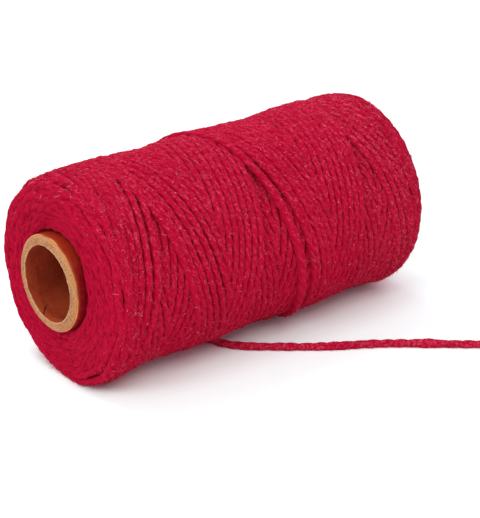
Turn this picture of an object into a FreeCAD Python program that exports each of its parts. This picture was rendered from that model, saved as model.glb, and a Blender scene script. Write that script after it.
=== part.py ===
# A roll of cotton twine, cross-wound on a paperboard tube and lying on its side.
# Millimetres, +Z up. The tube's axis runs along X, with the tube's open near end at -X.
# The origin is on the floor, below the middle of the roll.
import FreeCAD, Part
import math
import os
from FreeCAD import Vector

# The paper tube: three glued plies.
tubeLength = 110.0
boreRadius = 10.3
linerThickness = 0.3
boardThickness = 2.1
wrapThickness = 0.3

# The twine and the roll that it makes.
twineDiameter = 2.0
rollRadius = 27.5
rollLength = 106.0
floorFlat = 0.5  # how deep the lowest turns are pressed flat
crossingGap = 0.7  # between two strands where they cross on the straight part
layerClearance = 0.3  # between the outer turns and the layers under them

# The outer layer. The twine runs round the roll and along it, to and fro. The passes towards the
# near end lie under the passes towards the far end, and side by side with each other in lanes.
passTurns = 3.125  # turns in one pass, end to end
lanes = 4  # a pass there and back ends one part in this many of a turn further round
wholePasses = 7
leavingLanes = 1.5  # from the middle towards the near end, where the last pass leaves the roll
roundingAngle = 35.0  # degrees each side of a reversal, in which the twine turns back and climbs
shoulderLength = 3.2  # the stretch at each end of the roll that curves down
shoulderDrop = 3.0  # how far the twine comes down on it
coreShoulder = 4.0
bendRadius = 2.2  # where the layer's first end comes out of the layers under it
pocketClearance = 0.4
liftAngle = 30.0  # degrees before the floor, where the last turn eases off the roll
leavingRun = 2.3

# The corners of the free end's route over the floor, X and Y, after its first run.
firstRun = 8.0
tailCorners = [
    (-8.4, -16.6),
    (0.6, -24.4),
    (12.0, -33.4),
    (22.3, -39.2),
    (32.2, -46.9),
    (43.0, -56.5),
    (55.8, -65.6),
    (67.2, -76.0),
]
cornerShare = 0.45  # of the shorter run at a corner, which its arc takes up

twineRadius = twineDiameter / 2
tubeOuterRadius = boreRadius + linerThickness + boardThickness + wrapThickness
axisHeight = rollRadius - floorFlat
upperRadius = rollRadius - twineRadius
lowerRadius = upperRadius - twineDiameter - crossingGap
turnEndX = rollLength / 2 - twineRadius
rounding = math.radians(roundingAngle)
alongX = Vector(1, 0, 0)

# A pass would reach this far from the middle if it reversed in a point, and it rounds off inside.
sharpEndX = turnEndX / (1 - rounding / (2 * math.pi * passTurns))
turnPitch = 2 * sharpEndX / passTurns
leavingX = -leavingLanes * turnPitch / lanes
lastTurns = (sharpEndX + leavingX) / turnPitch
allTurns = wholePasses * passTurns + lastTurns
firstAngle = 2 * math.pi * allTurns - math.pi / 2


def aroundAxis(x, radius, angle):
    return Vector(x, radius * math.cos(angle), axisHeight + radius * math.sin(angle))


# The way that the twine runs round the axis.
def travelAt(angle):
    return Vector(0, math.sin(angle), -math.cos(angle))


# The centre of the twine after an angle of travel, where it neither reverses nor climbs.
# Even passes run to the near end in the lower radius, and odd ones to the far end in the upper.
def onPass(number, travelled):
    way = 1 if number % 2 else -1
    x = way * (turnPitch * travelled / (2 * math.pi) - number * 2 * sharpEndX - sharpEndX)
    past = max(abs(x) - turnEndX + shoulderLength, 0.0) / shoulderLength
    radius = (upperRadius if number % 2 else lowerRadius) - shoulderDrop * past**2
    return aroundAxis(x, radius, firstAngle - travelled)


# A station is a point on the twine's centre and the way that the twine runs there.
def passStation(number, travelled):
    small = 0.001
    ahead = onPass(number, travelled + small)
    behind = onPass(number, travelled - small)
    return onPass(number, travelled), (ahead - behind).normalize()


# Where the twine reverses before a pass: half way up or down between the two radii.
def reversal(number):
    travelled = 2 * math.pi * passTurns * number
    side = -1 if number % 2 else 1
    middle = (upperRadius + lowerRadius) / 2 - shoulderDrop
    climb = (upperRadius - lowerRadius) / (2 * rounding) * -side
    angle = firstAngle - travelled
    outward = Vector(0, math.cos(angle), math.sin(angle))
    way = travelAt(angle) * middle + outward * climb
    return aroundAxis(side * turnEndX, middle, angle), way.normalize()


# The stations of a pass, about a quarter turn apart between its ends, and closer at them.
def passStations(number, turns, endAngle):
    start = 2 * math.pi * passTurns * number
    first = 2 * rounding
    last = 2 * math.pi * turns - endAngle
    steps = round((last - first) / (math.pi / 2))
    angles = [rounding] + [first + (last - first) * step / steps for step in range(steps + 1)]
    return [passStation(number, start + angle) for angle in angles]


# The middle of the arc that leaves a point in a given way and ends at another point.
def arcMiddle(startPoint, way, endPoint):
    chord = endPoint - startPoint
    sideways = chord - way * chord.dot(way)
    radius = chord.dot(chord) / (2 * sideways.Length)
    centre = startPoint + sideways.normalize() * radius
    halfway = (startPoint + endPoint) * 0.5 - centre
    return centre + halfway.normalize() * radius


# One straight line or two arcs, from one station to the next.
def joinStations(start, finish):
    startPoint, startWay = start
    endPoint, endWay = finish
    chord = endPoint - startPoint
    if startWay.dot(chord) > chord.Length * (1 - 1e-9):
        return [Part.LineSegment(startPoint, endPoint).toShape()]
    along = chord.dot(startWay + endWay)
    spread = 2 * (1 - startWay.dot(endWay))
    reach = (math.sqrt(along * along + spread * chord.dot(chord)) - along) / spread
    middle = (startPoint + endPoint + (startWay - endWay) * reach) * 0.5
    firstTop = arcMiddle(startPoint, startWay, middle)
    secondTop = arcMiddle(endPoint, endWay * -1, middle)
    return [
        Part.Arc(startPoint, firstTop, middle).toShape(),
        Part.Arc(middle, secondTop, endPoint).toShape(),
    ]


# A round strand along edges that follow each other.
def strand(edges, startPoint, startWay):
    pipe = Part.BRepOffsetAPI.MakePipeShell(Part.Wire(edges))
    pipe.add(Part.Wire([Part.Circle(startPoint, startWay, twineRadius).toShape()]))
    pipe.build()
    pipe.makeSolid()
    solid = Part.Solid(pipe.shape())
    length = sum(edge.Length for edge in edges)
    share = solid.Volume / (length * math.pi * twineRadius**2)
    print("strand length", round(length, 1), "volume over section times length", round(share, 4))
    return solid


# The least gap from the strand to itself, measured on points along its centre.
def leastGap(edges):
    spacing = twineRadius * 0.8
    cell = twineDiameter * 3
    neighbourLength = 4 * bendRadius + 2 * twineDiameter
    points = []
    travelled = 0.0
    for edge in edges:
        count = int(edge.Length / spacing) + 1
        first, last = edge.ParameterRange
        for number in range(count):
            share = number / count
            points.append((travelled + edge.Length * share, edge.valueAt(first + (last - first) * share)))
        travelled += edge.Length
    cells = {}
    for length, point in points:
        key = tuple(math.floor(value / cell) for value in point)
        cells.setdefault(key, []).append((length, point))
    around = [(i, j, k) for i in (-1, 0, 1) for j in (-1, 0, 1) for k in (-1, 0, 1)]
    least = cell
    for (i, j, k), group in cells.items():
        near = [entry for di, dj, dk in around for entry in cells.get((i + di, j + dj, k + dk), [])]
        for length, point in group:
            distances = [point.distanceToPoint(other) for far, other in near if far > length + neighbourLength]
            least = min([least] + distances)
    return least - twineDiameter


# Where the outer layer starts, in a hole in the far end of the layers under it.
startRadius = math.sqrt((lowerRadius - shoulderDrop) ** 2 - bendRadius**2)
startAngle = firstAngle + math.atan2(bendRadius, startRadius)
startMouth = aroundAxis(turnEndX - bendRadius, startRadius, startAngle)
startFloor = startMouth - alongX * twineDiameter
startTravel = travelAt(startAngle)

# Where the last turn eases off the roll and lies down on the floor.
lift = math.radians(liftAngle)
easeRadius = (axisHeight - twineRadius - upperRadius * math.cos(lift)) / (1 - math.cos(lift))
landingY = (upperRadius - easeRadius) * math.sin(lift)
leavingWay = Vector(turnPitch, -2 * math.pi * upperRadius, 0).normalize()
landing = Vector(leavingX, 0, twineRadius) - leavingWay * (landingY / -leavingWay.y)
leaving = landing + leavingWay * leavingRun


def outerLayer():
    stations = [
        (startFloor, alongX),
        (startMouth, alongX),
        (startMouth + (startTravel + alongX) * bendRadius, startTravel),
    ]
    for number in range(wholePasses):
        if number > 0:
            stations.append(reversal(number))
        stations += passStations(number, passTurns, 2 * rounding)
        stations.append(passStation(number, 2 * math.pi * passTurns * (number + 1) - rounding))
    stations.append(reversal(wholePasses))
    stations += passStations(wholePasses, lastTurns, lift)
    stations += [(landing, leavingWay), (leaving, leavingWay)]
    edges = []
    for start, finish in zip(stations, stations[1:]):
        edges += joinStations(start, finish)
    print("turns", round(allTurns, 2), "pitch", round(turnPitch, 2), "leaves at", round(leavingX, 2))
    print("least gap of the outer layer to itself", round(leastGap(edges), 2))
    return strand(edges, *stations[0]).cut(below(0))


# Everything below a height.
def below(height):
    side = rollLength * 2
    return Part.makeBox(side, side, side, Vector(-side / 2, -side / 2, height - side))


# The layers under the outer turns: a plain barrel with a hole where the outer layer starts.
def innerLayers():
    radius = lowerRadius - twineRadius - layerClearance
    endX = rollLength / 2 - twineDiameter - layerClearance
    barrel = Part.makeCylinder(radius, 2 * endX, Vector(-endX, 0, axisHeight), alongX)
    rims = [edge for edge in barrel.Edges if edge.Closed and isinstance(edge.Curve, Part.Circle)]
    barrel = barrel.makeFillet(coreShoulder, rims)
    bore = Part.makeCylinder(tubeOuterRadius, 2 * endX, Vector(-endX, 0, axisHeight), alongX)
    pocketHalf = twineRadius + pocketClearance
    hole = Part.makeCylinder(pocketHalf, twineDiameter + bendRadius, startFloor, alongX)
    besideHole = hole.translated(startTravel * pocketClearance)
    return barrel.cut([bore, hole, besideHole])


# The free end: straight runs on the floor, joined by arcs.
def freeEnd():
    corners = [leaving, leaving + leavingWay * firstRun]
    corners += [Vector(x, y, twineRadius) for x, y in tailCorners]
    edges = []
    here = leaving
    radii = []
    for before, corner, after in zip(corners, corners[1:], corners[2:]):
        wayIn = (corner - before).normalize()
        wayOut = (after - corner).normalize()
        half = wayIn.getAngle(wayOut) / 2
        cut = cornerShare * min((corner - before).Length, (after - corner).Length)
        radius = cut / math.tan(half)
        radii.append(round(radius, 1))
        arcStart = corner - wayIn * cut
        arcEnd = corner + wayOut * cut
        inside = (wayOut - wayIn).normalize()
        arcTop = corner + inside * (radius / math.cos(half) - radius)
        edges += [Part.LineSegment(here, arcStart).toShape(), Part.Arc(arcStart, arcTop, arcEnd).toShape()]
        here = arcEnd
    edges.append(Part.LineSegment(here, corners[-1]).toShape())
    print("corners of the free end", [(round(point.x, 2), round(point.y, 2)) for point in corners])
    print("radii of the free end", radii)
    return strand(edges, leaving, leavingWay)


# A plain ring about the axis: one ply of the tube.
def ply(innerRadius, thickness):
    start = Vector(-tubeLength / 2, 0, axisHeight)
    outer = Part.makeCylinder(innerRadius + thickness, tubeLength, start, alongX)
    return outer.cut(Part.makeCylinder(innerRadius, tubeLength, start, alongX))


pieces = {
    "tube_inner_liner": ply(boreRadius, linerThickness),
    "tube_board": ply(boreRadius + linerThickness, boardThickness),
    "tube_outer_wrap": ply(tubeOuterRadius - wrapThickness, wrapThickness),
    "twine_inner_layers": innerLayers(),
    "twine_outer_layer": outerLayer(),
    "twine_free_end": freeEnd(),
}
os.makedirs("parts", exist_ok=True)
for name, shape in pieces.items():
    shape.exportStep("parts/" + name + ".step")
    print(name, "solids", len(shape.Solids), "valid", shape.isValid(), "volume", round(shape.Volume, 1))
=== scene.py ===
# A roll of crimson cotton twine, cross-wound on a paper tube and lying on a pale floor.
# The scene is in metres. The winding is worked out in millimetres, about the tube's axis.
import math

import bmesh
import bpy
import numpy as np
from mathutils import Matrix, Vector


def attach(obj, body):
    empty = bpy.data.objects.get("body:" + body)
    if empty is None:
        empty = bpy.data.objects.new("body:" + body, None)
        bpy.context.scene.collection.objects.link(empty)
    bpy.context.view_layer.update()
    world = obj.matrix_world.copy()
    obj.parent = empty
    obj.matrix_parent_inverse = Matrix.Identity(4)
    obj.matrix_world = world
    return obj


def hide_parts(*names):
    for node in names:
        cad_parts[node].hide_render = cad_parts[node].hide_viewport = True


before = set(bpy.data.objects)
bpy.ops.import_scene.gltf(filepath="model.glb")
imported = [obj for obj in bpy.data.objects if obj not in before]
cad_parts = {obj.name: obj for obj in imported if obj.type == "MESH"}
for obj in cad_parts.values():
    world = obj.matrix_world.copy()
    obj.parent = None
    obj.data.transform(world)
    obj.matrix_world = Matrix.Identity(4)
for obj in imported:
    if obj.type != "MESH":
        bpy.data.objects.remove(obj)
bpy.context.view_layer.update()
scene = bpy.context.scene
mm = 0.001
weld = 1e-7  # metres, within which points are merged
draw = np.random.default_rng(7)


def addObject(name, data):
    made = bpy.data.objects.new(name, data)
    scene.collection.objects.link(made)
    return made


# The mesh that a curve makes.
def meshOf(curve):
    holder = addObject("holder", curve)
    ready = holder.evaluated_get(bpy.context.evaluated_depsgraph_get())
    mesh = bpy.data.meshes.new_from_object(ready)
    bpy.data.objects.remove(holder)
    return mesh


# The length along a path at each of its points.
def lengthAlong(path):
    steps = np.linalg.norm(np.diff(path, axis=0), axis=1)
    return np.concatenate(([0.0], np.cumsum(steps)))


# All values of one kind, from the vertices or corners of a mesh.
def readAll(items, kind, size, number=np.float32):
    values = np.empty(len(items) * size, number)
    items.foreach_get(kind, values)
    return values


def unit(vectors):
    return vectors / np.linalg.norm(vectors, axis=1, keepdims=True)


# In metres and degrees, and the lens in mm.
camera = {
    "aim": (0.00268, -0.00639, 0.01977),
    "azimuth": -38.575,  # 0 looks along +Y
    "elevation": 24.688,
    "distance": 0.53902,
    "lens": 138.41,
}


def makeCamera():
    turn = math.radians(camera["azimuth"])
    rise = math.radians(camera["elevation"])
    back = Vector((math.sin(turn) * math.cos(rise), -math.cos(turn) * math.cos(rise), math.sin(rise)))
    data = bpy.data.cameras.new("camera")
    data.lens = camera["lens"]
    made = addObject("camera", data)
    made.location = Vector(camera["aim"]) + back * camera["distance"]
    made.rotation_euler = (-back).to_track_quat("-Z", "Y").to_euler()
    scene.camera = made


makeCamera()
print("camera placed")

# The twine: three plies twisted together.
twine = {
    "radius": 1.03,  # mm
    "lay": 11.0,  # mm along the twine in which a ply goes once round
    "sides": 12,
    "plies": 3,
    "groove": 0.2,  # how far in the grooves between the plies go, as a share of the radius
    "unevenness": 0.065,
    # Share, length in mm and phase of each wave in the thickness.
    "waves": ((0.9, 9.7, 0.4), (1.0, 23.0, 2.1), (0.8, 4.3, 4.4), (0.6, 61.0, 1.3)),
    "waveSum": 1.6,  # about what the waves come to together
    # Place and reach in mm, share. The last is the free end, fluffed out.
    "slubs": (
        (-476.0, 36.0, 0.26), (69.5, 2.6, 0.2), (31.0, 2.2, 0.1),
        (45.5, 2.6, 0.13), (54.5, 2.2, 0.13), (65.0, 68.0, 0.12),
    ),
}


def makePlyProfile():
    curve = bpy.data.curves.new("plyProfile", "CURVE")
    line = curve.splines.new("POLY")
    line.points.add(twine["sides"] - 1)
    for number, point in enumerate(line.points):
        angle = math.tau * number / twine["sides"]
        groove = abs(math.sin(twine["plies"] / 2 * angle)) ** 3
        reach = twine["radius"] * mm * (1 - twine["groove"] * groove)
        point.co = (reach * math.cos(angle), reach * math.sin(angle), 0, 1)
    line.use_cyclic_u = True
    return addObject("plyProfile", curve)


plyProfile = makePlyProfile()


# How thick the twine is at lengths along it in mm, as shares of its own thickness.
def thickness(length):
    swing = sum(share * np.sin(math.tau * length / wave + phase) for share, wave, phase in twine["waves"])
    slubs = sum(share * np.exp(-(((length - at) / reach) ** 4)) for at, reach, share in twine["slubs"])
    return 1 + twine["unevenness"] * swing / twine["waveSum"] + slubs


# Curve data with one line of straight runs for each (points in mm, radii).
def lineCurve(name, lines):
    curve = bpy.data.curves.new(name, "CURVE")
    curve.dimensions = "3D"
    curve.use_fill_caps = True
    for points, radii in lines:
        line = curve.splines.new("POLY")
        line.points.add(len(points) - 1)
        places = np.ones((len(points), 4), np.float32)
        places[:, :3] = points * mm
        line.points.foreach_set("co", places.ravel())
        line.points.foreach_set("radius", radii.astype(np.float32))
    return curve


# Turns a curve into a mesh piece of its own, none of it under the floor.
def meshFromCurve(name, curve):
    mesh = meshOf(curve)
    mesh.name = name
    mesh.polygons.foreach_set("use_smooth", np.ones(len(mesh.polygons), bool))
    places = readAll(mesh.vertices, "co", 3)
    places[2::3] = np.maximum(places[2::3], 0)
    mesh.vertices.foreach_set("co", places)
    return addObject(name, mesh)


# A mesh of twine along one or more lines, each (points in mm, length along the twine in mm).
# Its UV map runs in mm along the twine, and once round it.
def twineMesh(name, lines):
    curve = lineCurve(name, [(points, thickness(length)) for points, length in lines])
    curve.bevel_mode = "OBJECT"
    curve.bevel_object = plyProfile
    for line, (points, length) in zip(curve.splines, lines):
        line.points.foreach_set("tilt", (-math.tau * length / twine["lay"]).astype(np.float32))
    made = meshFromCurve(name, curve)
    mesh = made.data
    sides = twine["sides"]
    ends = [length[place] for points, length in reversed(lines) for place in (-1, 0)]
    along = np.repeat(np.concatenate([ends] + [length for points, length in lines]), sides)
    corners = readAll(mesh.loops, "vertex_index", 1, np.int32)
    layer = mesh.uv_layers["UVMap"].uv
    uv = readAll(layer, "vector", 2)
    uv[0::2] = along[corners]
    layer.foreach_set("vector", uv)
    shape = bmesh.new()
    shape.from_mesh(mesh)
    rim = [vertex for vertex in shape.verts if vertex.is_boundary]
    bmesh.ops.remove_doubles(shape, verts=rim, dist=weld)
    shape.to_mesh(mesh)
    shape.free()
    return made


# The free end of the twine, on the floor, in metres.
freeEnd = {
    "route": (
        (-0.0128, -0.00039), (-0.01118, -0.00822), (-0.0084, -0.0166), (0.0006, -0.0244),
        (0.012, -0.0334), (0.0223, -0.0392), (0.0322, -0.0469),
        (0.043, -0.0565), (0.0558, -0.0656), (0.0672, -0.076),
    ),
    "length": 0.1129,
    "height": 0.001,  # of its middle, so half its diameter
}


def makeFreeEnd():
    curve = bpy.data.curves.new("freeEndRoute", "CURVE")
    curve.dimensions = "3D"
    curve.resolution_u = 24
    line = curve.splines.new("NURBS")
    line.points.add(len(freeEnd["route"]) - 1)
    for point, (x, y) in zip(line.points, freeEnd["route"]):
        point.co = (x, y, freeEnd["height"], 1)
    line.order_u = 3
    line.use_endpoint_u = True
    mesh = meshOf(curve)
    path = np.array([vertex.co for vertex in mesh.vertices])
    bpy.data.meshes.remove(mesh)
    made = twineMesh("twine_tail", [(path / mm, lengthAlong(path) / mm)])
    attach(made, "root")
    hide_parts("twine_free_end")
    return made, path / mm


tail, tailPath = makeFreeEnd()
print("free end of the twine laid")

# The winding, in mm and degrees. Turns round the roll are counted back from where the twine leaves it.
winding = {
    "axisHeight": 27.0,
    "tubeRadius": 13.0,
    "rollRadius": 27.8,
    "halfLength": 52.65,
    "columns": 290,  # steps round the roll
    "cell": 0.25,  # mm, along the roll
    "passTurns": 2.971,  # from one end of the roll to the other
    "leavingTurns": 1.078,  # after the last reversal
    "reversalTurns": 0.097,  # each side of a reversal, in which it rounds off
    "slackReversalTurns": 0.22,  # at every other one on each side
    "reversalSpread": (0.85, 1.15),  # times that, from one to another
    "outerPasses": 64,  # laid on what the earlier ones fill
    "layer": 1.5,  # mm that a whole layer of passes one way adds
    "sink": 0.5,  # mm that crossing strands press into each other
    "spread": 0.11,  # mm, how unevenly the passes lie beside each other
    "lean": 0.7,  # mm that the strands are drawn along the roll on one side of it
    "leanAngle": 150.0,
    "drift": ((0.3, 2, 0.05), (0.15, 5, -0.11)),  # mm, waves round the roll, radians per mm along it
    "ripple": {"lag": 1.7, "share": 0.6, "times": 2.7},  # of a pass: its lag, and its second wave
    "headroom": 1.1,  # mm that a strand may stand above its pass's own level
    "startDepth": 1.0,  # mm under the finished shoulders, where the outer passes start
    "easeTurns": 0.25,  # the last ones, in which the twine comes to its free end
    "restCells": 2,  # that a strand rests on, each side
    "coverCells": 3,  # that it covers, each side
    "faceInset": 0.85,  # of the twine's radius, from an end face to a strand
    "smoothing": 3,  # steps to each side
    "depthKept": 2.2,  # mm under the surface, below which the strands are left out
    "faceDepthKept": 2.4,
    "showWindow": 9,  # steps that are kept around one that shows
    "shortestRun": 12,
}
gridReach = winding["halfLength"] + 2  # mm from the middle, where the wound surface ends
endWays = {"near": -1, "far": 1}  # the way along the roll to each end
shoulders = {
    "near": {"axial": 5.0, "radial": 7.0},  # mm along the roll and towards its axis
    "far": {"axial": 5.2, "radial": 8.4},
    "dish": 0.15,  # mm that an end face is hollow, at the tube
    "fill": 9.0,  # mm from the end, in which the strands come up to the shoulder's own shape
    "fillRise": 6.0,
    "depth": 0.2,  # mm that the last pass lies under the shoulder's shape
    "step": 0.032,  # mm that each older pass lies deeper there
    "slump": {"angle": 258.0, "width": 48.0, "share": 0.6},  # the near end is fuller at the floor
}
# The roll bulges at the foot of its near end, whose face is hollow above the tube.
bulge = {"x": -45.5, "reach": 9.0, "angle": 243.0, "width": 34.0, "height": 1.15}
hollow = {"from": 40.0, "rise": 8.0, "angle": 104.0, "width": 42.0, "reach": 6.0, "depth": 0.75}
# The pass before the last stands out, and the others that run its way lie parted from it.
proudPass = {"number": 0, "middle": 6.0, "reach": 17.0, "lift": 0.64}
bend = {"middle": 7.5, "reach": 5.0, "shift": -0.7}
parting = {"middle": 8.0, "reach": 13.0, "shift": 1.5, "fade": 5.0}


# How far an angle is from that of a place on the roll, in its widths.
def turnedFrom(angle, place):
    return ((np.degrees(angle) - place["angle"] + 180) % 360 - 180) / place["width"]


# How much of its shoulder the roll has, at an angle.
def shoulderShare(angle, side):
    if side == "far":
        return np.ones_like(angle)
    slump = shoulders["slump"]
    return 1 - slump["share"] * np.exp(-(turnedFrom(angle, slump) ** 2))


# How far from the middle the end face of the roll is, at a radius and an angle.
def faceAt(radius, side, angle):
    share = shoulderShare(angle, side)
    radial = shoulders[side]["radial"] * share
    start = winding["rollRadius"] - radial
    inwards = np.clip((start - radius) / (start - winding["tubeRadius"]), 0, 1)
    past = np.clip((radius - start) / radial, 0, 1)
    drop = shoulders[side]["axial"] * share * (1 - np.sqrt(1 - past**2))
    return winding["halfLength"] - shoulders["dish"] * inwards**2 - drop


# The radius of the finished roll, at places along it and angles.
def rollAt(x, angle):
    drops = []
    for side in endWays:
        share = shoulderShare(angle, side)
        axial = shoulders[side]["axial"] * share
        past = np.clip((np.abs(x) - winding["halfLength"] + axial) / axial, 0, 1)
        drops.append(shoulders[side]["radial"] * share * (1 - np.sqrt(1 - past**2)))
    return winding["rollRadius"] - np.where(x < 0, drops[0], drops[1])


# The radius of the roll's middle when a number of passes are still to be laid.
def radiusBefore(number):
    advance = 1 - 2 * winding["passTurns"] % 1  # in turns, from a pass to the next one the same way
    return winding["rollRadius"] - winding["layer"] * advance * (number + 1)


# The turns to go at a reversal. The even ones are at the near end and the odd ones at the far end.
def reversalAt(number):
    return winding["leavingTurns"] + number * winding["passTurns"]


def angleAt(turns):
    return math.tau * turns - math.pi / 2


# How far from a sharp reversal the twine is, rounded off.
def rounded(away, rounding):
    return np.where(away < rounding, rounding / 2 + away**2 / (2 * rounding), away)


# Where the reversals are: how far out each would be if it were sharp, and how it is rounded off.
def planReversals(passes):
    sharp = np.zeros(passes)
    rounding = np.zeros(passes)
    for number in range(passes):
        side = "far" if number % 2 else "near"
        way = endWays[side]
        angle = angleAt(reversalAt(number))
        face = float(faceAt(radiusBefore(number) - twine["radius"], side, angle))
        out = face - winding["faceInset"] * twine["radius"]
        sharp[number] = way * out / (1 - winding["reversalTurns"] / winding["passTurns"])
        slack = number // 2 % 2
        rounding[number] = winding["slackReversalTurns"] if slack else winding["reversalTurns"]
        rounding[number] *= draw.uniform(*winding["reversalSpread"])
    return sharp, rounding


# Where the twine is along the roll, with a number of turns to go.
def alongRoll(turns, sharp, rounding, offsets):
    angle = angleAt(turns)
    passTurns = winding["passTurns"]
    passes = (turns - winding["leavingTurns"]) / passTurns
    number = np.clip(np.round(passes).astype(int), 0, len(sharp) - 1)
    share = 1 - 2 * rounded(np.abs(turns - reversalAt(number)), rounding[number]) / passTurns
    x = sharp[number] * share
    inner = 1 - share**4
    lean = winding["lean"] * np.sin(angle - math.radians(winding["leanAngle"]))
    drift = sum(size * np.sin(waves * angle + slope * x) for size, waves, slope in winding["drift"])
    ripple = winding["ripple"]
    wave = math.tau * passes + ripple["lag"] * number
    uneven = offsets[number] * (np.cos(wave) + ripple["share"] * np.sin(ripple["times"] * wave))
    return x + (lean + drift + uneven) * inner


# The height of a taut strand over its supports: it bridges hollows in straight lines.
def taut(along, support, radius):
    bent = support - along**2 / (2 * radius)
    keep = []
    for number in range(len(along)):
        while len(keep) > 1:
            a, b = keep[-2], keep[-1]
            rise = (bent[b] - bent[a]) * (along[number] - along[a])
            if rise > (bent[number] - bent[a]) * (along[b] - along[a]):
                break
            keep.pop()
        keep.append(number)
    return np.interp(along, along[keep], bent[keep]) + along**2 / (2 * radius)


# The surface that the outer passes are laid on, as radii. Each way of winding leaves a slope on it,
# from its newest strand down to its oldest.
def startSurface(gridX, passes, sharp):
    turn = np.arange(winding["columns"])[:, None] / winding["columns"]
    out = abs(sharp[-1])
    pitch = 2 * out / winding["passTurns"]
    even = passes + passes % 2
    odd = passes + 1 - passes % 2
    backing = (gridX + out) / pitch + reversalAt(even) - turn
    running = (out - gridX) / pitch + reversalAt(odd) - turn
    slope = (backing % 1 + running % 1 - 1) * winding["layer"]
    shape = rollAt(gridX, angleAt(turn)) - winding["startDepth"]
    return np.minimum(shape, radiusBefore(passes)) - slope


# Lays the outer passes one by one, over what lies there already.
def windOuter():
    gridX = np.arange(-gridReach, gridReach + winding["cell"] / 2, winding["cell"])
    passes = winding["outerPasses"]
    sharp, rounding = planReversals(passes + 1)
    offsets = draw.normal(0, winding["spread"], passes + 1)
    surface = startSurface(gridX, passes, sharp)
    plan = (sharp, rounding, offsets)
    parts = [layPass(surface, number, plan) for number in range(passes - 1, -2, -1)]
    turns, x, radius = (np.concatenate(column) for column in zip(*parts))
    return surface, turns, x, radius


# 1 in the middle of a stretch of the roll, and down to 0 past its reach.
def nearTo(x, stretch):
    return np.exp(-(((x - stretch["middle"]) / stretch["reach"]) ** 4))


def layPass(surface, number, plan):
    columns = winding["columns"]
    cell = winding["cell"]
    first = math.ceil(reversalAt(number + 1) * columns) - 1
    last = math.ceil(max(reversalAt(number), 0) * columns) - 1
    count = np.arange(first, last, -1)
    turns = count / columns
    x = alongRoll(turns, *plan)
    lift = 0
    if number == proudPass["number"]:
        lift = proudPass["lift"] * nearTo(x, proudPass)
        x = x + bend["shift"] * nearTo(x, bend)
    elif number > 0 and number % 2 == 0:
        x = x + parting["shift"] * nearTo(x, parting) * math.exp(-(number - 2) / parting["fade"])
    if number < 0:
        x = x + (tailPath[0, 0] - x[-1]) * np.exp(-((turns / winding["easeTurns"]) ** 2))
    column = count % columns
    cells = np.round((x + gridReach) / cell).astype(int)
    across = np.arange(-winding["restCells"], winding["restCells"] + 1)
    under = surface[column[:, None], cells[:, None] + across]
    under = under + np.sqrt(twine["radius"] ** 2 - (across * cell) ** 2)
    support = under.max(axis=1) - winding["sink"]
    level = radiusBefore(number)
    outline = rollAt(x, angleAt(turns)) - twine["radius"]
    ceiling = np.minimum(outline, level + winding["headroom"] - twine["radius"])
    inFill = np.abs(x) - winding["halfLength"] + shoulders["fill"]
    fill = np.clip(inFill / shoulders["fillRise"], 0, 1)
    filled = outline - shoulders["depth"] - shoulders["step"] * (number + 1)
    support = np.minimum(support, ceiling)
    support = support + fill * np.maximum(filled - support, 0)
    along = (turns[0] - turns) * math.tau * level
    radius = taut(along, support, level) + lift
    for offset in np.arange(-winding["coverCells"], winding["coverCells"] + 1):
        place = (column, cells + offset)
        height = radius + math.sqrt(twine["radius"] ** 2 - (offset * cell) ** 2)
        surface[place] = np.maximum(surface[place], height)
    return turns, x, radius


surface, turns, alongX, radius = windOuter()
steps = np.hypot(np.diff(alongX), math.tau * radius[1:] / winding["columns"])
length = np.concatenate(([0.0], np.cumsum(steps)))
length -= length[-1] + abs(tailPath[0, 1])
print("wound", round(turns[0]), "turns,", round(-length[0] / 1000, 1), "m")


# Evens out values that follow each other, over some to each side.
def smooth(values, reach):
    kernel = np.hanning(2 * reach + 3)[1:-1]
    return np.convolve(np.pad(values, reach, "edge"), kernel / kernel.sum(), "valid")


# The strands that show: near the surface of the roll or near an end face.
def shownRuns():
    columns = winding["columns"]
    column = np.round(turns * columns).astype(int) % columns
    cells = np.round((alongX + gridReach) / winding["cell"]).astype(int)
    depth = surface[column, cells] - radius - twine["radius"]
    angle = angleAt(turns)
    face = np.where(alongX < 0, faceAt(radius, "near", angle), faceAt(radius, "far", angle))
    faceDepth = face - np.abs(alongX) - twine["radius"]
    shown = (depth < winding["depthKept"]) | (faceDepth < winding["faceDepthKept"])
    grown = np.convolve(shown, np.ones(winding["showWindow"]), "same") > 0
    edges = np.flatnonzero(np.diff(np.concatenate(([0], grown.astype(int), [0]))))
    stretches = zip(edges[::2], edges[1::2])
    runs = [(start, end) for start, end in stretches if end - start > winding["shortestRun"]]
    return runs, np.minimum(depth, faceDepth)


# A point at a place along the tube's axis, a radius and an angle.
def aroundTube(x, radius, angle):
    out = radius - winding["tubeRadius"]
    away = ((x - bulge["x"]) / bulge["reach"]) ** 2
    swell = bulge["height"] * np.exp(-away - turnedFrom(angle, bulge) ** 2)
    away = (out / hollow["reach"]) ** 2
    dent = hollow["depth"] * np.exp(-away - turnedFrom(angle, hollow) ** 2)
    x = x + dent * np.clip((-x - hollow["from"]) / hollow["rise"], 0, 1)
    radius = radius + swell * out / (winding["rollRadius"] - winding["tubeRadius"])
    height = winding["axisHeight"] + radius * np.sin(angle)
    return np.stack((x, radius * np.cos(angle), np.maximum(height, freeEnd["height"] / mm)), axis=1)


radius = smooth(radius, winding["smoothing"])
places = aroundTube(alongX, radius, angleAt(turns))
runs, depths = shownRuns()
places = np.vstack((places, tailPath[0]))
length = np.append(length, 0.0)
runs[-1] = (runs[-1][0], len(places))
print("strands that show:", len(runs), "runs,", sum(end - start for start, end in runs), "rings")


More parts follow.
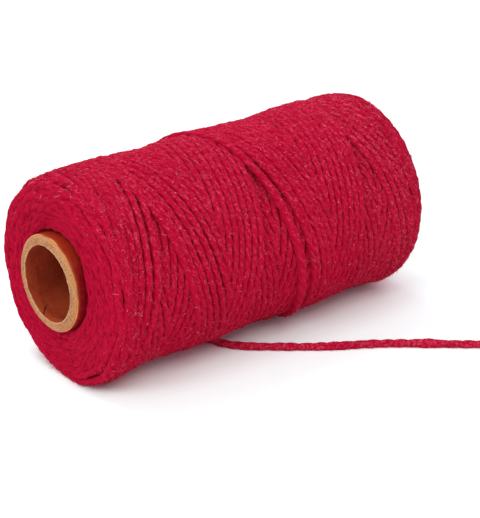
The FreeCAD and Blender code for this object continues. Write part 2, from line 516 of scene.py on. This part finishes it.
# The reversals of the inner passes, each an arc on an end face that dives in at both ends.
endArcs = {
    "count": 80,
    "overlap": 2.6,  # mm that they reach out under the outer passes
    "spread": 0.1,  # mm, how unevenly they lie beside each other
    "advance": 0.618,  # turns from one to the next
    "span": 0.25,  # turns to each side of its reversal
    "rings": 72,
    "rounding": (0.2, 0.3),
    "dive": 0.3,  # mm that it goes in on one side of its reversal, and out on the other
    "diveReach": 1.3,
    "tubeSink": 0.1,  # mm that the innermost may press into the tube
    "depth": 0.4,  # mm, how unevenly deep they lie
    "pitch": 34.5,  # mm along the roll in a turn
    "lengthStep": 37.3,  # mm of twine from one to the next
}


def endFaceArcs(side):
    lines = []
    low = winding["tubeRadius"] + twine["radius"]
    high = radiusBefore(winding["outerPasses"]) + endArcs["overlap"]
    span = np.linspace(endArcs["span"], -endArcs["span"], endArcs["rings"])  # turns from the reversal
    for number in range(endArcs["count"]):
        centre = low + (high - low) * number / endArcs["count"] + draw.normal(0, endArcs["spread"])
        rounding = draw.uniform(*endArcs["rounding"])
        inset = (rounded(np.abs(span), rounding) - rounding / 2) * endArcs["pitch"]
        angle = math.tau * (number * endArcs["advance"] + span)
        dive = endArcs["dive"] * np.clip(span / rounding, -endArcs["diveReach"], endArcs["diveReach"])
        arc = np.maximum(centre - dive, low - endArcs["tubeSink"])
        inside = winding["faceInset"] * twine["radius"]
        out = faceAt(arc, side, angle) - inside - draw.uniform(0, endArcs["depth"])
        points = aroundTube(endWays[side] * (out - inset), arc, angle)
        lines.append((points, endArcs["lengthStep"] * number + lengthAlong(points)))
    return lines


pieceTriangles = 190000  # at most, in a piece of turns
fewestRings = 3  # in a stretch of twine


# The strands that show, shared out among pieces, and the end faces.
def makeTurns():
    most = pieceTriangles // (2 * twine["sides"])
    groups = [[]]
    count = 0
    for start, end in runs:
        while start < end:
            stop = min(end, start + most - count)
            if stop - start >= fewestRings:
                groups[-1].append((start, stop))
            count += stop - start
            start = stop if stop == end else stop - 1
            if count >= most - fewestRings:
                groups.append([])
                count = 0
    made = []
    for number, group in enumerate(groups):
        if group:
            lines = [(places[start:stop], length[start:stop]) for start, stop in group]
            made.append(twineMesh("twine_turns_%02d" % (number + 1), lines))
    faces = {side: endFaceArcs(side) for side in endWays}
    made += [twineMesh("twine_%s_face" % side, lines) for side, lines in faces.items()]
    for piece in made:
        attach(piece, "root")
        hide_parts("twine_outer_layer")
    return made, faces


turnPieces, faceLines = makeTurns()
print("turns meshed:", len(turnPieces), "pieces")


# A closed outline of (x, radius) in mm, spun about the tube's axis.
def spunPiece(name, outline, steps):
    shape = bmesh.new()
    points = [shape.verts.new((x * mm, 0, r * mm)) for x, r in outline]
    for a, b in zip(points, points[1:] + points[:1]):
        shape.edges.new((a, b))
    bmesh.ops.spin(
        shape,
        geom=shape.verts[:] + shape.edges[:],
        cent=(0, 0, 0),
        axis=(1, 0, 0),
        angle=math.tau,
        steps=steps,
        use_merge=True,
    )
    bmesh.ops.remove_doubles(shape, verts=shape.verts, dist=weld)
    bmesh.ops.recalc_face_normals(shape, faces=shape.faces)
    mesh = bpy.data.meshes.new(name)
    shape.to_mesh(mesh)
    shape.free()
    mesh.polygons.foreach_set("use_smooth", np.ones(len(mesh.polygons), bool))
    made = addObject(name, mesh)
    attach(made, "root")
    return made


floorGap = 0.05  # mm, that spun pieces keep


# Sets a spun piece on the roll's axis, after change(x, radius, angle) in mm has moved its points.
def settle(piece, change):
    mesh = piece.data
    places = readAll(mesh.vertices, "co", 3)
    x, y, z = (places.reshape(-1, 3).T / mm).astype(float)
    angle = np.arctan2(z, y)
    x, radius = change(x, np.hypot(y, z), angle)
    height = np.maximum(winding["axisHeight"] + radius * np.sin(angle), floorGap)
    moved = np.stack((x, radius * np.cos(angle), height), axis=1) * mm
    mesh.vertices.foreach_set("co", moved.astype(np.float32).ravel())
    mesh.update()


# What lies under the strands that show, in mm under the roll's surface and its end faces.
underFill = {"sink": 2.6, "inset": 3.0, "gap": 0.02, "chamfer": (1, 0.6), "rings": 12, "steps": 120}


def makeUnderLayer():
    sink = underFill["sink"]
    inset = underFill["inset"]
    alongEdge, upEdge = underFill["chamfer"]
    top = math.radians(90)
    end = winding["halfLength"] - inset - alongEdge
    bottom = winding["tubeRadius"] + underFill["gap"]
    radii = np.linspace(winding["tubeRadius"] + upEdge, winding["rollRadius"] - sink, underFill["rings"])
    outline = [(-end, bottom)]
    for side, way in endWays.items():
        part = [(way * (float(faceAt(r + sink * 0.5, side, top)) - inset), float(r)) for r in radii]
        outline += part if way < 0 else part[::-1]
    outline.append((end, bottom))
    made = spunPiece("twine_under_layer", outline, underFill["steps"])
    settle(made, lambda x, radius, angle: (x, radius))
    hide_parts("twine_inner_layers")
    return made


underLayer = makeUnderLayer()
print("under layer spun")

# The tube: three paper plies, glued, with a worn rim at both ends.
tube = {
    "halfLength": 55.3,
    "steps": 240,
    "plain": 3.0,  # mm from each end, where the long rings start
    "longRings": 9,
    "edgeSteps": 4,  # of a rounded edge
    "rimRings": 7,
    "ragged": 0.09,  # mm, how rough the saw left the rim
    "raggedReach": 1.0,  # mm from the rim
    "raggedRise": 0.8,
    "raggedShares": (0.6, 0.4),  # the same all round, and in waves
    "waveShift": 2.3,  # from one radius to the next, per mm
    # Times round the tube and share of each wave in the rim.
    "waves": ((3, 0.5), (7, 0.6), (13, 0.7), (29, 0.8), (47, 0.9), (71, 0.8)),
    "waveSum": 2.2,
}
# Each ply: its radii, how far back from the rim it ends, how round its inner and outer edges are.
linerPly = {"inner": 10.3, "outer": 10.6, "back": 0.0, "corners": (0.06, 0.06), "rough": 2.6}
boardPly = {"inner": 10.6, "outer": 12.7, "back": 0.08, "corners": (0.1, 0.85), "rough": 1.0}
wrapPly = {"inner": 12.7, "outer": 13.0, "back": 0.72, "corners": (0.05, 0.16), "rough": 1.4}


# A small unevenness round the tube, from -1 to 1 or so.
def roughness(angle, shift):
    waves = (share * np.sin(times * angle + shift * times**0.5 + times) for times, share in tube["waves"])
    return sum(waves) / tube["waveSum"]


# A quarter round from the flat end of a ply to its side, as (x, radius).
def roundEdge(end, side, corner, way):
    count = tube["edgeSteps"]
    turns = [math.radians(90 * step / count) for step in range(count + 1)]
    return [(end - corner * (1 - math.cos(t)), side + way * corner * (math.sin(t) - 1)) for t in turns]


def plyOutline(ply):
    end = tube["halfLength"] - ply["back"]
    low = roundEdge(end, ply["inner"], ply["corners"][0], -1)
    high = roundEdge(end, ply["outer"], ply["corners"][1], 1)
    across = np.linspace(low[0][1], high[0][1], tube["rimRings"])[1:-1]
    right = low[::-1] + [(end, float(r)) for r in across] + high
    straight = np.linspace(-end + tube["plain"], end - tube["plain"], tube["longRings"])
    inside = [(float(x), ply["inner"]) for x in straight]
    outside = [(-x, ply["outer"]) for x, r in inside]
    left = [(-x, r) for x, r in reversed(right)]
    return inside + right + outside + left


def makePly(name, node, ply):
    made = spunPiece(name, plyOutline(ply), tube["steps"])
    rough = tube["ragged"] * ply["rough"]
    even, wavy = tube["raggedShares"]

    def change(x, radius, angle):
        fromRim = np.abs(x) - tube["halfLength"] + ply["back"] + tube["raggedReach"]
        nearEnd = np.clip(fromRim / tube["raggedRise"], 0, 1)
        shift = np.sign(x) + radius * tube["waveShift"]
        cut = nearEnd * rough * (even + wavy * roughness(angle, shift))
        return x - np.sign(x) * cut, radius

    settle(made, change)
    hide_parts(node)
    return made


tubeLiner = makePly("tube_liner_ply", "tube_inner_liner", linerPly)
tubeBoard = makePly("tube_board_ply", "tube_board", boardPly)
tubeWrap = makePly("tube_wrap_ply", "tube_outer_wrap", wrapPly)
print("tube spun")

# Loose fibres on the twine, the felt they make at both ends of the roll, and pale bits of lint.
fibres = {
    "perPiece": 6500,
    "root": 0.93,  # of the twine's radius, where a fibre starts
    "turn": 0.6,  # radians, how far round the strand it may start
    "shortest": 0.4,  # of its own drawn length
    "lowest": 0.06,  # mm over the floor
    "tip": 0.35,  # of its thickness
    "leastLift": 0.1,
    # How far it has gone ahead, aside and up at its middle and at its tip.
    "curve": ((0.4, 0.25, 0.4375), (0.8, 1.0, 0.5)),
    "depth": 0.9,  # mm under the surface, below which a strand has none
    "faceDepth": 1.7,
    "shoulderFrom": 43,  # mm from the middle
    "fanFrom": 49,  # mm from the middle, where they start to fan out
}
# Length and radius in mm, and how far one stands off, curls and strays, as shares of its length.
fuzz = {"count": 15000, "length": (0.8, 2.6), "radius": 0.04, "lift": 0.5, "curl": 0.6, "tumble": 0.7}
felt = {"count": 3600, "length": (1.2, 3.2), "radius": 0.07, "lift": 0.05, "curl": 0.3, "tumble": 0.18}
lint = {"count": 950, "length": (0.3, 0.9), "radius": 0.09, "lift": 0.2, "curl": 1.0, "tumble": 0.9}
shoulderFelt = dict(felt, count=5200, radius=0.06, lift=0.1, curl=0.4, tumble=0.35)
shoulderLint = dict(lint, count=560, length=(0.3, 1.0), radius=0.08, lift=0.25)


# Fibres on a strand's side. Each is a thin curved line that starts in the twine's surface.
def fibreLines(look, start, forward, out):
    count = len(start)
    side = unit(np.cross(forward, out))
    out = np.cross(side, forward)
    turn = draw.normal(0, fibres["turn"], count)[:, None]
    away = out * np.cos(turn) + side * np.sin(turn)
    sway = side * np.cos(turn) - out * np.sin(turn)
    reach = draw.uniform(*look["length"], count)[:, None]
    reach = reach * draw.uniform(fibres["shortest"], 1, count)[:, None]
    way = draw.choice((-1, 1), count)[:, None]
    heading = forward * way + sway * draw.normal(0, look["tumble"], count)[:, None]
    curl = sway * draw.normal(0, look["curl"], count)[:, None]
    lift = look["lift"] * draw.uniform(fibres["leastLift"], 1, count)[:, None]
    line = [start + away * (twine["radius"] * fibres["root"])]
    for ahead, aside, up in fibres["curve"]:
        line.append(line[0] + reach * (heading * ahead + curl * aside + away * (lift * up)))
    line = np.stack(line, axis=1)
    line[:, :, 2] = np.maximum(line[:, :, 2], fibres["lowest"])
    return line


def fibrePieces(name, look, lines):
    taper = np.linspace(1, fibres["tip"], lines.shape[1])
    most = fibres["perPiece"]
    made = []
    for first in range(0, len(lines), most):
        curve = lineCurve(name, [(line, taper) for line in lines[first : first + most]])
        curve.bevel_depth = look["radius"] * mm
        curve.bevel_resolution = 0
        piece = meshFromCurve("%s_%d" % (name, first // most + 1), curve)
        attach(piece, "root")
        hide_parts("twine_outer_layer")
        made.append(piece)
    return made


# Fibres on the strands of the roll that show.
def rollFibres(name, look, fromMiddle=0):
    shown = np.concatenate([np.arange(start, end - 1) for start, end in runs])
    shown = shown[depths[np.minimum(shown, len(depths) - 1)] < fibres["depth"]]
    shown = shown[np.abs(places[shown, 0]) >= fromMiddle]
    pick = draw.choice(shown, look["count"])
    start = places[pick]
    forward = unit(places[pick + 1] - start)
    inside = np.zeros((len(pick), 3))
    inside[:, 0] = np.clip(start[:, 0], -fibres["fanFrom"], fibres["fanFrom"])
    inside[:, 2] = winding["axisHeight"]
    return fibrePieces(name, look, fibreLines(look, start, forward, unit(start - inside)))


# Felt on an end face: fibres that lie along its arcs.
def faceFelt(name, look, side):
    lines = [points for points, length in faceLines[side]]
    every = np.concatenate([points[:-1] for points in lines])
    along = np.concatenate([np.diff(points, axis=0) for points in lines])
    y, z = every[:, 1], every[:, 2] - winding["axisHeight"]
    shallow = faceAt(np.hypot(y, z), side, np.arctan2(z, y)) - np.abs(every[:, 0]) < fibres["faceDepth"]
    pick = draw.choice(np.flatnonzero(shallow), look["count"])
    out = np.zeros((len(pick), 3))
    out[:, 0] = endWays[side]
    return fibrePieces(name, look, fibreLines(look, every[pick], unit(along[pick]), out))


fuzzPieces = rollFibres("twine_fuzz", fuzz)
lintPieces = rollFibres("twine_lint", lint)
lintPieces += rollFibres("shoulder_lint", shoulderLint, fibres["shoulderFrom"])
feltPieces = faceFelt("near_face_felt", felt, "near") + faceFelt("far_face_felt", felt, "far")
feltPieces += rollFibres("shoulder_felt", shoulderFelt, fibres["shoulderFrom"])
print("fibres placed")


# Sets an input, or links an output to it. None leaves it as it is.
def feed(tree, socket, value):
    if isinstance(value, bpy.types.NodeSocket):
        tree.links.new(value, socket)
    elif value is not None:
        socket.default_value = value


# A node with its settings and inputs. Gives its outputs.
def addNode(tree, kind, inputs, **settings):
    node = tree.nodes.new("ShaderNode" + kind)
    for name, value in settings.items():
        setattr(node, name, value)
    for name, value in inputs.items():
        feed(tree, node.inputs[name], value)
    return node.outputs


# A material, with small helpers for its nodes.
class Look:
    def __init__(self, name, specular, rough=0.5):
        self.material = bpy.data.materials.new(name)
        self.material.use_nodes = True
        self.tree = self.material.node_tree
        self.shader = self.tree.nodes["Principled BSDF"]
        self.give("Specular IOR Level", specular)
        self.give("Roughness", rough)

    def give(self, name, value):
        feed(self.tree, self.shader.inputs[name], value)

    def node(self, kind, inputs, **settings):
        return addNode(self.tree, kind, inputs, **settings)

    def math(self, operation, first, second=None):
        return self.node("Math", {0: first, 1: second}, operation=operation)[0]

    def times(self, first, second):
        return self.math("MULTIPLY", first, second)

    # A noise that swings about 0, over a size.
    def swing(self, noise, size):
        return self.times(self.math("SUBTRACT", noise, 0.5), size)

    def place(self, scale=(1, 1, 1), move=(0, 0, 0)):
        point = self.node("TexCoord", {})["Object"]
        return self.node("Mapping", {"Vector": point, "Scale": scale, "Location": move})["Vector"]

    def split(self, vector):
        return self.node("SeparateXYZ", {"Vector": vector}).values()

    # How squarely the surface faces away from the roll's axis, and upwards.
    def facing(self):
        fromAxis = self.place((0, 1, 1), (0, 0, -winding["axisHeight"] * mm))
        away = self.node("VectorMath", {0: fromAxis}, operation="NORMALIZE")["Vector"]
        normal = self.node("NewGeometry", {})["Normal"]
        outwards = self.node("VectorMath", {0: normal, 1: away}, operation="DOT_PRODUCT")["Value"]
        return outwards, self.split(normal)[2]

    def noise(self, vector, scale, detail=3.0, rough=0.5):
        inputs = {"Vector": vector, "Scale": scale, "Detail": detail, "Roughness": rough}
        return self.node("TexNoise", inputs)["Fac"]

    # A noise on the object's own coordinates.
    def grain(self, scale, detail=3.0, rough=0.5, stretch=(1, 1, 1)):
        return self.noise(self.place(stretch), scale, detail, rough)

    def between(self, value, low, high):
        inputs = {"Value": value, "From Min": low, "From Max": high}
        return self.node("MapRange", inputs, interpolation_type="SMOOTHSTEP")["Result"]

    def mix(self, share, first, second):
        tones = [(*tone, 1) if isinstance(tone, tuple) else tone for tone in (first, second)]
        return self.node("Mix", {0: share, 6: tones[0], 7: tones[1]}, data_type="RGBA")[2]

    # Lays a colour over a tone, up to a share, where a value goes from low to high.
    def stain(self, tone, colour, value, low, high, share=1.0):
        amount = self.between(value, low, high)
        if share < 1:
            amount = self.times(amount, share)
        return self.mix(amount, tone, colour)

    def bump(self, height, distance, strength=1.0, under=None):
        inputs = {"Height": height, "Distance": distance, "Strength": strength, "Normal": under}
        return self.node("Bump", inputs)["Normal"]

    def finish(self, colour, normal=None, rough=None):
        self.give("Base Color", colour)
        self.give("Normal", normal)
        self.give("Roughness", rough)
        return self.material


def giveTo(pieces, material):
    for piece in pieces:
        piece.data.materials.clear()
        piece.data.materials.append(material)


cotton = {
    "body": (0.495, 0.0018, 0.031),
    "crest": (0.63, 0.011, 0.065),
    "tip": (0.78, 0.12, 0.19),
    # Darker red: painted shade in the grooves between the plies, and random dark patches.
    "hollow": (0.36, 0.001, 0.021),
    "felted": (0.475, 0.003, 0.034),
    "dash": (0.2, 0.0005, 0.012),
    "deep": ((0.34, 0.002, 0.024), (0.46, 0.003, 0.033)),  # of the under layer, darker than the body as painted shade
    "pale": 0.62,  # how strong its painted highlight is
    "hairAndSheen": 0.46,  # and where it is hairy, partly painted sheen
    "hairAndSheenFrom": (0.024, 0.05),  # metres from the middle, at the far end
    "feltedFrom": (0.043, 0.049),  # metres from the middle, at both ends
    "bump": 0.62,
}


# The wound twine has a painted highlight on its outer and upper sides, painted shade in its ply grooves,
# a paler far end that is partly hairy and partly painted sheen, and felted ends.
# The loose end has the painted highlight on its upper side, is paler all along (partly hairy, partly
# painted sheen), and is not felted.
def cottonLook(name, loose=False):
    look = Look(name, specular=0.02, rough=0.95)
    look.give("Sheen Weight", 0.08)
    look.give("Sheen Roughness", 0.6)
    look.give("Sheen Tint", (1.0, 0.25, 0.4, 1))
    along, around = look.split(look.node("UVMap", {}, uv_map="UVMap")["UV"])[:2]
    turn = look.times(around, math.tau)
    onTwine = {"X": look.times(along, 0.3)}  # which draws the streaks out along the twine
    onTwine["Y"] = look.math("COSINE", turn)
    onTwine["Z"] = look.math("SINE", turn)
    streaks = look.noise(look.node("CombineXYZ", onTwine)["Vector"], 2.6, 5.0, 0.68)
    fromPly = look.math("ABSOLUTE", look.math("SINE", look.times(turn, twine["plies"] / 2)))
    groove = look.math("POWER", fromPly, 4.0)
    patches = look.grain(70.0, 2.0)
    clumps = look.grain(1500.0, 3.0, 0.65)
    outwards, upwards = look.facing()
    x = look.split(look.place())[0]
    if loose:
        outer, hairAndSheen, felted = 1.0, 1.0, 0.0
    else:
        outer = look.between(outwards, 0.4, 0.95)
        hairAndSheen = look.between(x, *cotton["hairAndSheenFrom"])
        felted = look.between(look.math("ABSOLUTE", x), *cotton["feltedFrom"])
    paintedLightShare = look.times(outer, look.between(upwards, -0.6, 0.8))
    mottle = look.times(look.math("ADD", streaks, clumps), 0.5)
    # Painted highlight: paler in patches where the twine faces outwards and upwards.
    pale = look.times(look.between(mottle, 0.5, 0.64), look.times(paintedLightShare, cotton["pale"]))
    # Paler tips in patches where the twine is hairy, partly painted sheen.
    tips = look.times(look.between(clumps, 0.46, 0.66), look.times(hairAndSheen, cotton["hairAndSheen"]))
    dashes = look.times(look.between(streaks, 0.44, 0.32), felted)
    tone = look.mix(look.between(streaks, 0.46, 0.68), cotton["body"], cotton["crest"])
    tone = look.stain(tone, cotton["crest"], clumps, 0.5, 0.7, 0.5)
    tone = look.mix(pale, tone, cotton["tip"])
    tone = look.mix(tips, tone, cotton["tip"])
    tone = look.stain(tone, cotton["hollow"], clumps, 0.46, 0.32, 0.4)
    # Painted shade: the grooves between the plies are darkened.
    tone = look.mix(look.times(groove, 0.4), tone, cotton["hollow"])
    tone = look.stain(tone, cotton["hollow"], patches, 0.45, 0.7, 0.25)
    tone = look.mix(look.times(felted, 0.5), tone, cotton["felted"])
    tone = look.mix(look.times(dashes, 0.75), tone, cotton["dash"])
    strength = look.math("SUBTRACT", cotton["bump"], look.times(felted, 0.3))
    normal = look.bump(streaks, distance=0.0003, strength=strength)
    normal = look.bump(clumps, distance=0.0002, strength=0.5, under=normal)
    return look.finish(tone, normal)


def deepCottonLook():
    look = Look("shadedCotton", specular=0.02, rough=1.0)
    streaks = look.grain(900.0, stretch=(0.3, 1, 1))
    return look.finish(look.mix(streaks, *cotton["deep"]), look.bump(streaks, distance=0.0003))


# Specular level and roughness, scale and detail of the noise, where it goes from tone to tone.
looseFibre = {
    "gloss": (0.05, 0.9),
    "noise": (500.0, 1.0),
    "turn": (0.35, 0.65),
    "tones": ((0.5, 0.004, 0.036), (0.8, 0.13, 0.21)),
}
feltedFibre = {
    "gloss": (0.02, 0.95),
    "noise": (260.0, 2.0),
    "turn": (0.3, 0.7),
    "tones": ((0.4, 0.003, 0.03), (0.55, 0.007, 0.044)),
}
paleFibre = {
    "gloss": (0.1, 0.9),
    "noise": (400.0, 1.0),
    "turn": (0.4, 0.7),
    "tones": ((0.86, 0.14, 0.25), (0.98, 0.36, 0.48)),
}


def fibreLook(name, fibre):
    look = Look(name, *fibre["gloss"])
    change = look.between(look.grain(*fibre["noise"]), *fibre["turn"])
    return look.finish(look.mix(change, *fibre["tones"]))


# Brown paper, made lighter at its foot as painted light. A crease starts low at the near rim, and the cut
# lip is pale.
liner = {
    "tones": ((0.28, 0.034, 0.0125), (0.41, 0.06, 0.019)),
    "fibre": (0.14, 0.015, 0.005),
    "foot": (0.47, 0.078, 0.023),
    "litFootFrom": (-0.0055, -0.0103),  # metres from the axis
    "crease": (0.04, 0.006, 0.003),
    "creaseStart": 0.055,
    "creaseAngle": -1.3,
    "creaseSlope": 88.0,
    "creaseWidth": (0.04, 0.012),
    "creaseEnd": (-0.0512, -0.0528),
    "lip": (0.64, 0.42, 0.2),
    "lipFrom": (0.0549, 0.0551),
}


def linerLook():
    look = Look("brownLinerPaper", specular=0.15, rough=0.75)
    paper = look.grain(1500.0, 4.0, 0.6, (1.3, 0.4, 0.4))
    patches = look.grain(260.0, 4.0, 0.6, (1, 0.6, 0.6))
    x, y, z = look.split(look.place())
    height = look.math("SUBTRACT", z, winding["axisHeight"] * mm)
    path = look.times(look.math("ADD", x, liner["creaseStart"]), liner["creaseSlope"])
    turn = look.math("SUBTRACT", look.math("ARCTAN2", height, y), liner["creaseAngle"])
    away = look.math("ADD", look.math("SUBTRACT", turn, path), look.swing(patches, 0.25))
    crease = look.between(look.math("ABSOLUTE", away), *liner["creaseWidth"])
    crease = look.times(crease, look.between(x, *liner["creaseEnd"]))
    # Painted light: the lower inside of the tube is lighter.
    low = look.times(look.between(height, *liner["litFootFrom"]), look.between(patches, 0.25, 0.6))
    lip = look.math("ADD", look.math("ABSOLUTE", x), look.swing(paper, 0.0012))
    tone = look.mix(look.between(patches, 0.3, 0.7), *liner["tones"])
    tone = look.stain(tone, liner["fibre"], paper, 0.45, 0.75, 0.5)
    tone = look.mix(low, tone, liner["foot"])
    tone = look.mix(look.times(crease, 0.8), tone, liner["crease"])
    tone = look.stain(tone, liner["lip"], lip, *liner["lipFrom"])
    return look.finish(tone, look.bump(paper, distance=0.0001, strength=0.6))


# Cut board with dark pits and pale fibres, amber at its outer edge.
board = {
    "tones": ((0.57, 0.31, 0.135), (0.48, 0.225, 0.1)),
    "pit": (0.2, 0.1, 0.05),
    "fibre": (0.74, 0.5, 0.28),
    "edge": (0.66, 0.32, 0.095),
    "edgeFrom": (0.0122, 0.0127),  # metres from the axis
}


def boardLook():
    look = Look("cutTanBoard", specular=0.15, rough=0.9)
    grain = look.grain(2600.0, 4.0, 0.65)
    patches = look.grain(260.0)
    y, z = look.split(look.place())[1:]
    height = look.math("SUBTRACT", z, winding["axisHeight"] * mm)
    squares = look.math("ADD", look.math("POWER", height, 2.0), look.math("POWER", y, 2.0))
    radius = look.math("ADD", look.math("SQRT", squares), look.swing(patches, 0.0012))
    tone = look.mix(look.between(patches, 0.35, 0.7), *board["tones"])
    tone = look.stain(tone, board["pit"], grain, 0.52, 0.62, 0.8)
    tone = look.stain(tone, board["fibre"], grain, 0.45, 0.32, 0.6)
    tone = look.stain(tone, board["edge"], radius, *board["edgeFrom"], 0.6)
    return look.finish(tone, look.bump(grain, distance=0.00014, strength=0.9))


# Glazed paper: red-brown, with painted light making it orange towards its top and a painted highlight
# making it amber towards the rim, and bright where it is cut.
wrap = {
    "low": (0.2, 0.0015, 0.005),
    "high": (0.33, 0.028, 0.006),
    "litTopFrom": (0.03, 0.041),  # metres over the floor
    "amber": (0.36, 0.055, 0.008),
    "rimHighlightFrom": (0.054, 0.0551),  # metres from the middle
    "cut": (0.7, 0.28, 0.055),
    "cutFrom": (0.0549, 0.0553),
    "speck": (0.3, 0.03, 0.008),
    "rough": 0.2,  # and rougher by this much on the specks
    "speckRough": 0.25,
}


def wrapLook():
    look = Look("glazedAmberPaper", specular=0.5)
    look.give("Coat Weight", 0.15)
    look.give("Coat Roughness", 0.2)
    x, z = look.split(look.place())[::2]
    edge = look.math("ADD", look.math("ABSOLUTE", x), look.times(look.grain(260.0, 4.0), 0.0014))
    specks = look.grain(900.0)
    # Painted light: red-brown low down, lighter and more orange towards the top.
    tone = look.mix(look.between(z, *wrap["litTopFrom"]), wrap["low"], wrap["high"])
    # Painted highlight: amber towards the rim.
    tone = look.stain(tone, wrap["amber"], edge, *wrap["rimHighlightFrom"])
    tone = look.stain(tone, wrap["cut"], edge, *wrap["cutFrom"])
    tone = look.stain(tone, wrap["speck"], specks, 0.5, 0.75, 0.4)
    rough = look.math("ADD", look.times(specks, wrap["speckRough"]), wrap["rough"])
    return look.finish(tone, look.bump(specks, distance=0.00004, strength=0.5), rough)


giveTo(turnPieces, cottonLook("crimsonCotton"))
giveTo([tail], cottonLook("looseCrimsonCotton", loose=True))
giveTo([underLayer], deepCottonLook())
giveTo(fuzzPieces, fibreLook("looseCottonFibre", looseFibre))
giveTo(feltPieces, fibreLook("feltedCotton", feltedFibre))
giveTo(lintPieces, fibreLook("paleLint", paleFibre))
giveTo([tubeLiner], linerLook())
giveTo([tubeBoard], boardLook())
giveTo([tubeWrap], wrapLook())
print("materials given")

# The floor and the light.
studio = {
    "floorReach": 1.0,  # metres from the middle
    "floor": (0.94, 0.94, 0.94),
    "seenFloor": (1.17, 1.42, 1.38),  # white once it is lit
    "sky": 0.63,
    "skyColour": (1.0, 0.72, 0.82),
    "lampColour": (0.94, 1.09, 1.05),
    "lampSize": 0.5,
    "keyLamp": {"place": (-0.85, -0.2, 0.8), "power": 3.75},
    "frontLamp": {"place": (-0.1, -0.7, 0.95), "power": 2.8},
    "backLamp": {"place": (-0.05, 0.6, 0.95), "power": 3.65},
}


# 1 for light rays of some kinds, and 0 for others.
def raysOf(tree, kinds):
    rays = addNode(tree, "LightPath", {})
    share = rays[kinds[0]]
    for kind in kinds[1:]:
        share = addNode(tree, "Math", {0: share, 1: rays[kind]}, operation="MAXIMUM")[0]
    return share


# A colour for rays that light the scene, and another for rays that see it.
def seenColour(tree, seen, lighting, shown):
    inputs = {0: seen, 6: (*lighting, 1), 7: (*shown, 1)}
    return addNode(tree, "Mix", inputs, data_type="RGBA")[2]


def makeFloor():
    mesh = bpy.data.meshes.new("floor")
    shape = bmesh.new()
    bmesh.ops.create_grid(shape, x_segments=1, y_segments=1, size=studio["floorReach"])
    shape.to_mesh(mesh)
    shape.free()
    floor = addObject("floor", mesh)
    paper = bpy.data.materials.new("paleFloor")
    paper.use_nodes = True
    tree = paper.node_tree
    tree.nodes.clear()
    seen = raysOf(tree, ("Is Camera Ray", "Is Glossy Ray"))
    colour = seenColour(tree, seen, studio["floor"], studio["seenFloor"])
    matt = addNode(tree, "BsdfDiffuse", {"Color": colour})[0]
    addNode(tree, "OutputMaterial", {"Surface": matt})
    mesh.materials.append(paper)


def makeSky():
    world = bpy.data.worlds.new("studio")
    world.use_nodes = True
    tree = world.node_tree
    sky = tree.nodes["Background"]
    seen = raysOf(tree, ("Is Camera Ray", "Is Glossy Ray", "Is Transmission Ray"))
    level = addNode(tree, "MapRange", {"Value": seen, "To Min": studio["sky"], "To Max": 1.0})[0]
    feed(tree, sky.inputs["Strength"], level)
    feed(tree, sky.inputs["Color"], seenColour(tree, seen, studio["skyColour"], (1, 1, 1)))
    scene.world = world
    scene.view_settings.view_transform = "Standard"


def makeLamp(name):
    lamp = studio[name]
    data = bpy.data.lights.new(name, "AREA")
    data.energy = lamp["power"]
    data.color = studio["lampColour"]
    data.size = studio["lampSize"]
    made = addObject(name, data)
    made.location = lamp["place"]
    made.rotation_euler = (-Vector(lamp["place"])).to_track_quat("-Z", "Y").to_euler()


makeFloor()
makeSky()
for lampName in ("keyLamp", "frontLamp", "backLamp"):
    makeLamp(lampName)
print("studio lit")

bpy.data.objects.remove(plyProfile)
